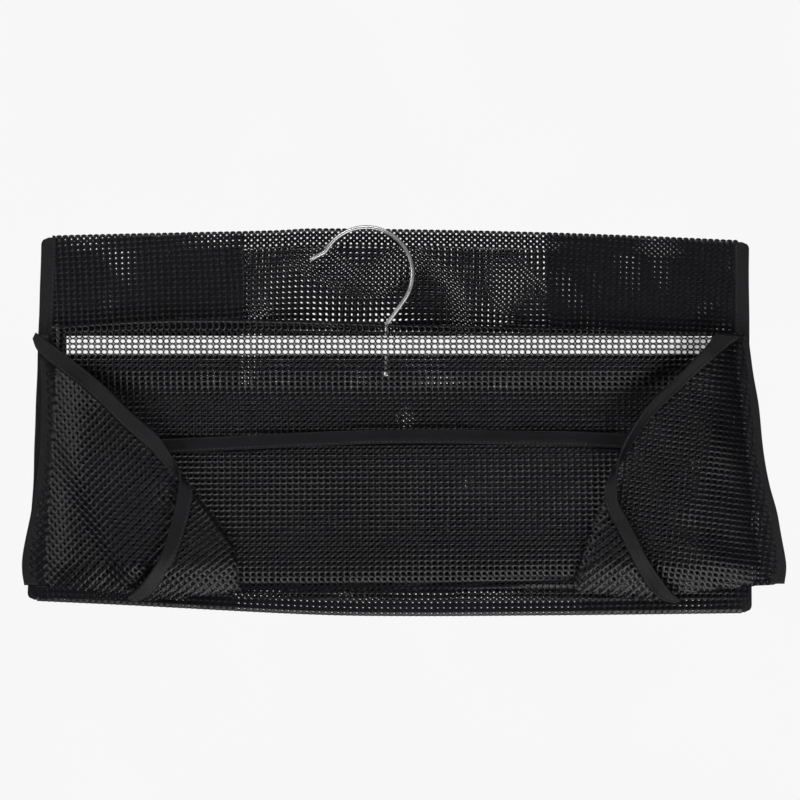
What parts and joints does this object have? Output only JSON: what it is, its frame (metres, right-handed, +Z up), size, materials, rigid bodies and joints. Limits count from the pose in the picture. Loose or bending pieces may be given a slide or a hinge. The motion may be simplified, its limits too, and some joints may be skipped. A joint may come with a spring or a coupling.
{
  "type": "hanging mesh shoe organizer",
  "caption": "Hanging mesh shoe organizer folded flat: stiffener bar with a wire hook, tape-bound shelves, and side panels that fold in.",
  "frame": {"origin": "centre of the footprint of the folded organizer, on the surface that it lies on", "axes": "+X along the stiffener bar, +Y from the folded foot towards the hook, +Z up out of the flat underside"},
  "size_m": [0.5341, 0.274, 0.036],
  "materials": {
    "mesh": "open warp-knitted polyester mesh, matt black",
    "binding_tape": "folded woven polyester tape, satin black",
    "bar_plastic": "smooth white polypropylene",
    "hook_steel": "bright nickel-plated drawn wire"
  },
  "bodies": {
    "rear_tier": {"rear_wall": "mesh", "rear_left_side": "mesh", "rear_right_side": "mesh", "rear_shelf": "mesh", "rear_shelf_tape": "binding_tape", "rear_left_tape": "binding_tape", "rear_right_tape": "binding_tape"},
    "middle_tier": {"middle_wall": "mesh", "middle_left_side": "mesh", "middle_right_side": "mesh", "middle_shelf": "mesh", "middle_shelf_tape": "binding_tape", "middle_left_tape": "binding_tape", "middle_right_tape": "binding_tape"},
    "front_tier": {"front_wall": "mesh", "sleeve_foot": "mesh", "sleeve_front": "mesh", "sleeve_hem": "mesh", "sleeve_back": "mesh", "stiffener_bar": "bar_plastic", "front_shelf": "mesh", "front_shelf_tape": "binding_tape", "front_left_seam_tape": "binding_tape", "front_right_seam_tape": "binding_tape"},
    "left_flap": {"left_side_panel": "mesh", "left_edge_tape": "binding_tape", "left_curled_panel": "mesh", "left_curled_tape": "binding_tape"},
    "right_flap": {"right_side_panel": "mesh", "right_edge_tape": "binding_tape", "right_curled_panel": "mesh", "right_curled_tape": "binding_tape"},
    "hook": {"hanger_hook": "hook_steel"}
  },
  "joints": [
    {"name": "middle_tier_fold", "type": "hinge", "parent": "rear_tier", "child": "middle_tier", "pos_m": [0, 0.1335, 0.00405], "axis": [-1, 0, 0], "range_deg": [0, 110]},
    {"name": "front_tier_fold", "type": "hinge", "parent": "middle_tier", "child": "front_tier", "pos_m": [0, -0.1355, 0.00835], "axis": [1, 0, 0], "range_deg": [0, 120]},
    {"name": "left_flap_swing", "type": "hinge", "parent": "front_tier", "child": "left_flap", "pos_m": [-0.246, 0.058, 0.0114], "axis": [-0.058, -0.9983, 0], "range_deg": [0, 90]},
    {"name": "right_flap_swing", "type": "hinge", "parent": "front_tier", "child": "right_flap", "pos_m": [0.236, 0.06, 0.0114], "axis": [-0.1142, 0.9935, 0], "range_deg": [0, 90]},
    {"name": "hook_swivel", "type": "hinge", "parent": "front_tier", "child": "hook", "pos_m": [-0.012, 0.0665, 0.0129], "axis": [0, 1, 0], "range_deg": [-5, 15]}
  ]
}
